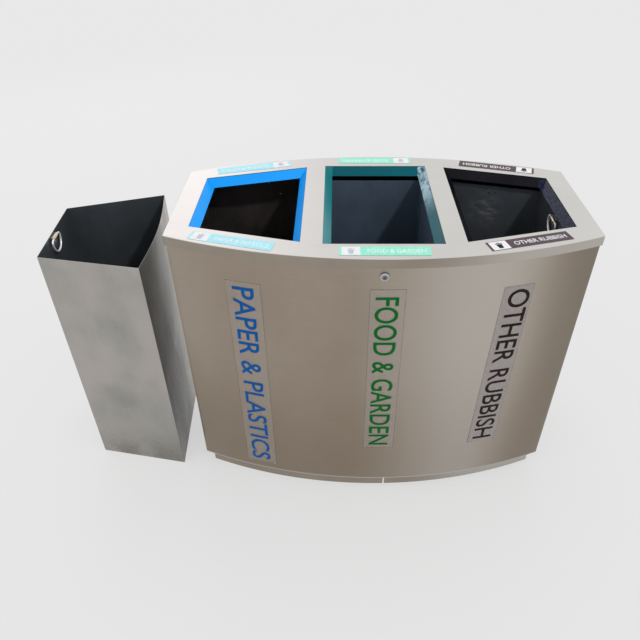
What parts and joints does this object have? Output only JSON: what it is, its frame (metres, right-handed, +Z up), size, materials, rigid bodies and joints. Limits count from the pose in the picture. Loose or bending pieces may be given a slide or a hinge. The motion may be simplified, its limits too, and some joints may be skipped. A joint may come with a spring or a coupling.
{
  "type": "recycling bin station",
  "caption": "Lens-shaped stainless recycling station: hinged lift-up lid, coloured throwing chutes and lift-out steel liners, one of them standing beside the cabinet.",
  "frame": {"origin": "on the floor under the middle of the cabinet, at the underside of the plinth's cross rail", "axes": "+X along the cabinet, to the right seen from the front; -Y is the front, where the waste names and the lock are; +Z up"},
  "size_m": [1.4797, 0.6145, 0.8706],
  "materials": {
    "stainless_panel": "brushed satin stainless sheet, fine level grain",
    "stainless_lid": "bright satin stainless sheet",
    "mill_steel": "dull mill-finish steel sheet with smudges",
    "zinc_fitting": "zinc-plated, slightly yellow",
    "bright_wire": "bright bare steel",
    "lock_chrome": "polished chrome",
    "buffer_rubber": "black rubber",
    "blue_paint": "glossy bright blue powder coat",
    "green_paint": "glossy dark teal green powder coat",
    "black_paint": "high-gloss black powder coat",
    "blue_label": "printed vinyl, pale cyan, white words",
    "green_label": "printed vinyl, mint green, white words",
    "grey_label": "printed vinyl, mauve grey, white words",
    "clear_film": "clear adhesive film with printed words"
  },
  "bodies": {
    "cabinet": {"front_panel": "stainless_panel", "back_panel": "stainless_panel", "left_end_panel": "stainless_panel", "right_end_panel": "stainless_panel", "base_pan": "mill_steel", "plinth_front_left": "stainless_panel", "plinth_front_right": "stainless_panel", "plinth_back": "stainless_panel", "plinth_left_end": "stainless_panel", "plinth_right_end": "stainless_panel", "plinth_joint_strip": "bright_wire", "plinth_cross_rail": "mill_steel", "liner_guide_left": "mill_steel", "liner_guide_right": "mill_steel", "lid_buffer_front_left": "buffer_rubber", "lid_buffer_back_left": "buffer_rubber", "lid_buffer_front_right": "buffer_rubber", "lid_buffer_back_right": "buffer_rubber", "lock_body": "lock_chrome", "lock_nut": "zinc_fitting", "hinge_bracket_left": "stainless_panel", "hinge_bracket_right": "stainless_panel", "hinge_pin_left": "bright_wire", "hinge_pin_right": "bright_wire", "hinge_bolt_left_1": "zinc_fitting", "hinge_bolt_left_2": "zinc_fitting", "hinge_bolt_right_1": "zinc_fitting", "hinge_bolt_right_2": "zinc_fitting", "film_left": "clear_film", "film_middle": "clear_film", "film_right": "clear_film"},
    "lid": {"lid_shell": "stainless_lid", "chute_left": "blue_paint", "chute_middle": "green_paint", "chute_right": "black_paint", "label_left_front": "blue_label", "label_left_back": "blue_label", "label_middle_front": "green_label", "label_middle_back": "green_label", "label_right_front": "grey_label", "label_right_back": "grey_label", "hinge_arm_left": "stainless_panel", "hinge_arm_right": "stainless_panel", "hinge_rivet_left_1": "bright_wire", "hinge_rivet_left_2": "bright_wire", "hinge_rivet_right_1": "bright_wire", "hinge_rivet_right_2": "bright_wire", "lid_catch": "stainless_panel"},
    "lock_plug": {"lock_plug": "lock_chrome", "lock_cam": "zinc_fitting", "lock_cam_bolt": "zinc_fitting"},
    "liner_left": {"liner_left": "mill_steel", "ring_bracket_left": "zinc_fitting"},
    "lifting_ring_left": {"lifting_ring_left": "bright_wire"},
    "liner_middle": {"liner_middle": "mill_steel", "ring_bracket_middle": "zinc_fitting"},
    "lifting_ring_middle": {"lifting_ring_middle": "bright_wire"},
    "liner_right": {"liner_right": "mill_steel", "ring_bracket_right": "zinc_fitting"},
    "lifting_ring_right": {"lifting_ring_right": "bright_wire"}
  },
  "joints": [
    {"name": "lid_lift", "type": "hinge", "parent": "cabinet", "child": "lid", "pos_m": [0, 0.308, 0.843], "axis": [-1, 0, 0], "range_deg": [0, 100]},
    {"name": "lock_turn", "type": "hinge", "parent": "cabinet", "child": "lock_plug", "pos_m": [0, -0.295, 0.817], "axis": [0, 1, 0], "range_deg": [0, 90]},
    {"name": "liner_left_lift", "type": "slide", "parent": "cabinet", "child": "liner_left", "axis": [0, 0, 1], "range_m": [0, 0.6]},
    {"name": "liner_middle_lift", "type": "slide", "parent": "cabinet", "child": "liner_middle", "axis": [0, 0, 1], "range_m": [0, 0.015]},
    {"name": "liner_right_lift", "type": "slide", "parent": "cabinet", "child": "liner_right", "axis": [0, 0, 1], "range_m": [0, 0.015]},
    {"name": "ring_left_swing", "type": "hinge", "parent": "liner_left", "child": "lifting_ring_left", "pos_m": [-0.91095, -0.01177, 0.764], "axis": [0.0663, -0.9978, 0], "range_deg": [0, 120]},
    {"name": "ring_middle_swing", "type": "hinge", "parent": "liner_middle", "child": "lifting_ring_middle", "pos_m": [0, -0.2063, 0.8196], "axis": [1, 0, 0], "range_deg": [0, 90]},
    {"name": "ring_right_swing", "type": "hinge", "parent": "liner_right", "child": "lifting_ring_right", "pos_m": [0.4798, -0.012, 0.8196], "axis": [0, 1, 0], "range_deg": [0, 90]}
  ]
}
